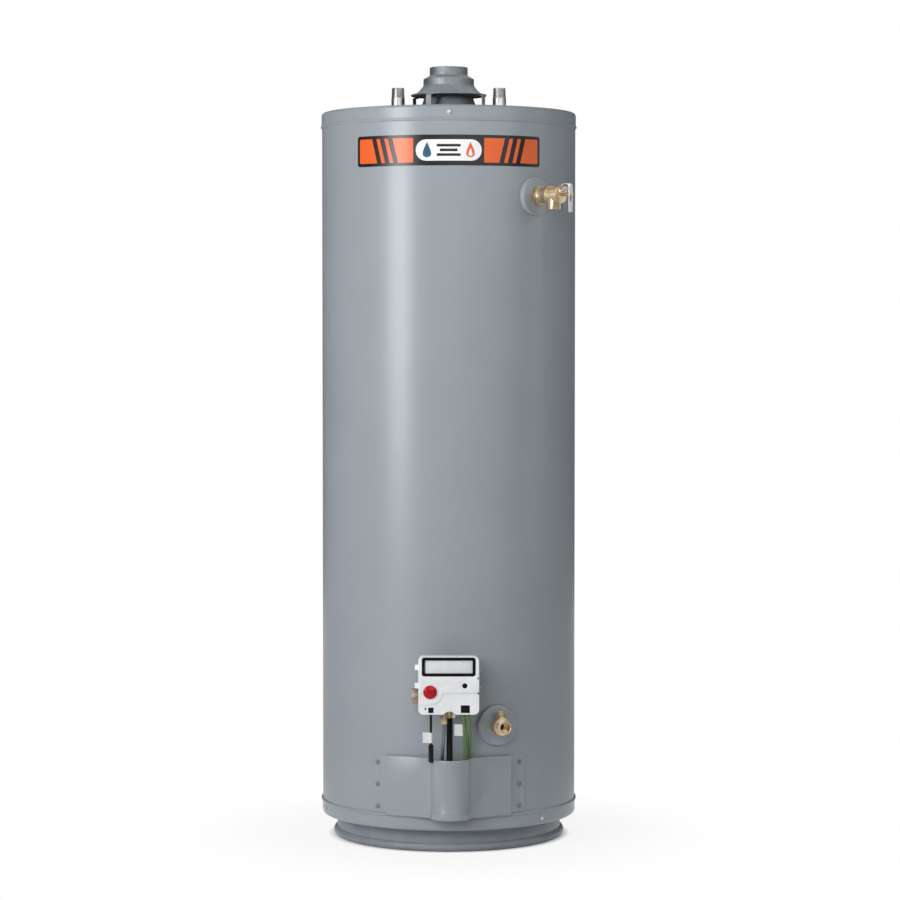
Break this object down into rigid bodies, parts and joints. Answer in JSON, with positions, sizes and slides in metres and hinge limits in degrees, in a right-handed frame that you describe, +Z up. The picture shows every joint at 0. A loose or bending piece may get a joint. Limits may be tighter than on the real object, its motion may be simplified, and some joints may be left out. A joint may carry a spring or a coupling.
{
  "type": "tank water heater",
  "caption": "Tall round gas-fired tank water heater with a draft hood, pipe nipples, relief and drain valves, a gas control and a burner access door.",
  "frame": {"origin": "centre of the base ring's underside, on the floor", "axes": "+Z up along the tank's axis; the gas control and the burner door face -Y; +X is to the right of a person facing the front"},
  "size_m": [0.5148, 0.6014, 1.5405],
  "materials": {
    "jacket_paint": "satin grey enamel",
    "base_paint": "satin grey enamel",
    "foam": "rigid foam",
    "label": "printed film",
    "galvanised": "galvanised sheet",
    "steel": "plain",
    "dark_steel": "mill finish",
    "tank_steel": "glass-lined steel",
    "pipe_zinc": "galvanised pipe",
    "rubber": "matt",
    "dip_plastic": "plain",
    "magnesium": "cast",
    "brass": "machined",
    "copper": "drawn copper",
    "cover_white": "fine moulded texture",
    "gloss_black": "polished",
    "face_grey": "printed film",
    "button_red": "polished",
    "cast_body": "die cast",
    "plug_black": "moulded",
    "tube_black": "semi-gloss",
    "tube_aluminium": "drawn",
    "lead_black": "matt",
    "lead_green": "satin",
    "tag_paper": "paper",
    "gasket_fibre": "glass fibre",
    "burner_steel": "stamped steel"
  },
  "bodies": {
    "heater": {"jacket": "jacket_paint", "top_pan": "jacket_paint", "bottom_pan": "jacket_paint", "base_ring": "base_paint", "insulation": "foam", "front_label": "label", "pan_screws": "steel", "pipe_grommets": "rubber", "tank_shell": "tank_steel", "tank_top_head": "tank_steel", "tank_bottom_head": "tank_steel", "tank_spuds": "tank_steel", "flue_tube": "tank_steel", "flue_baffle": "dark_steel", "flue_collar": "galvanised", "cold_water_nipple": "pipe_zinc", "hot_water_nipple": "pipe_zinc", "dip_tube": "dip_plastic", "anode_rod": "magnesium", "draft_hood": "galvanised", "draft_hood_legs": "galvanised", "tp_escutcheon": "jacket_paint", "tp_valve_body": "brass", "tp_bonnet": "brass", "tp_lever_pin": "steel", "tp_spring": "steel", "tp_probe": "copper", "drain_escutcheon": "jacket_paint", "drain_valve_body": "brass", "control_body": "cast_body", "control_upper_cover": "cover_white", "control_lower_cover": "cover_white", "control_bezel": "gloss_black", "control_faceplate": "face_grey", "igniter_ring": "cover_white", "igniter_spring": "steel", "status_lens": "gloss_black", "gas_inlet_fitting": "brass", "burner_outlet_fitting": "brass", "pilot_outlet_fitting": "brass", "igniter_plug": "plug_black", "thermopile_connector": "plug_black", "burner_tube": "tube_black", "pilot_tube": "tube_aluminium", "igniter_lead": "lead_black", "igniter_sleeve": "lead_black", "thermopile_leads": "lead_green", "lead_tags": "tag_paper", "outer_door": "jacket_paint", "door_screws": "dark_steel", "inner_door": "dark_steel", "door_gasket": "gasket_fibre", "burner": "burner_steel", "pilot_assembly": "burner_steel", "flame_arrestor": "dark_steel"},
    "relief_lever": {"tp_lever": "steel"},
    "relief_stem": {"tp_stem": "brass"},
    "igniter_button": {"igniter_button": "button_red"},
    "drain_stem": {"drain_stem": "brass"},
    "drain_plunger": {"drain_plunger": "rubber"}
  },
  "joints": [
    {"name": "relief_lever_lift", "type": "hinge", "parent": "heater", "child": "relief_lever", "pos_m": [0.22198, -0.2509, 1.287], "axis": [-0.749, -0.6626, 0], "range_deg": [0, 25], "stiffness_Nm_per_rad": 1.5, "springref_deg": -17.19},
    {"name": "relief_stem_pull", "type": "slide", "parent": "heater", "child": "relief_stem", "axis": [0.6626, -0.749, 0], "range_m": [0, 0.0088], "deforming": ["tp_spring"]},
    {"name": "igniter_button_press", "type": "slide", "parent": "heater", "child": "igniter_button", "axis": [0, 1, 0], "range_m": [0, 0.004], "stiffness_N_per_m": 500, "springref_m": -0.002, "deforming": ["igniter_spring"]},
    {"name": "drain_stem_turn", "type": "hinge", "parent": "heater", "child": "drain_stem", "pos_m": [0.10042, -0.25493, 0.249], "axis": [0, 0, 1], "range_deg": [0, 1080]},
    {"name": "drain_plunger_lift", "type": "slide", "parent": "heater", "child": "drain_plunger", "axis": [0, 0, 1], "range_m": [0, 0.006]}
  ],
  "couplings": [
    {"joint": "relief_lever_lift", "follows": "relief_stem_pull", "rad_per_m": 47.6},
    {"joint": "drain_stem_turn", "follows": "drain_plunger_lift", "rad_per_m": 3141.5}
  ]
}
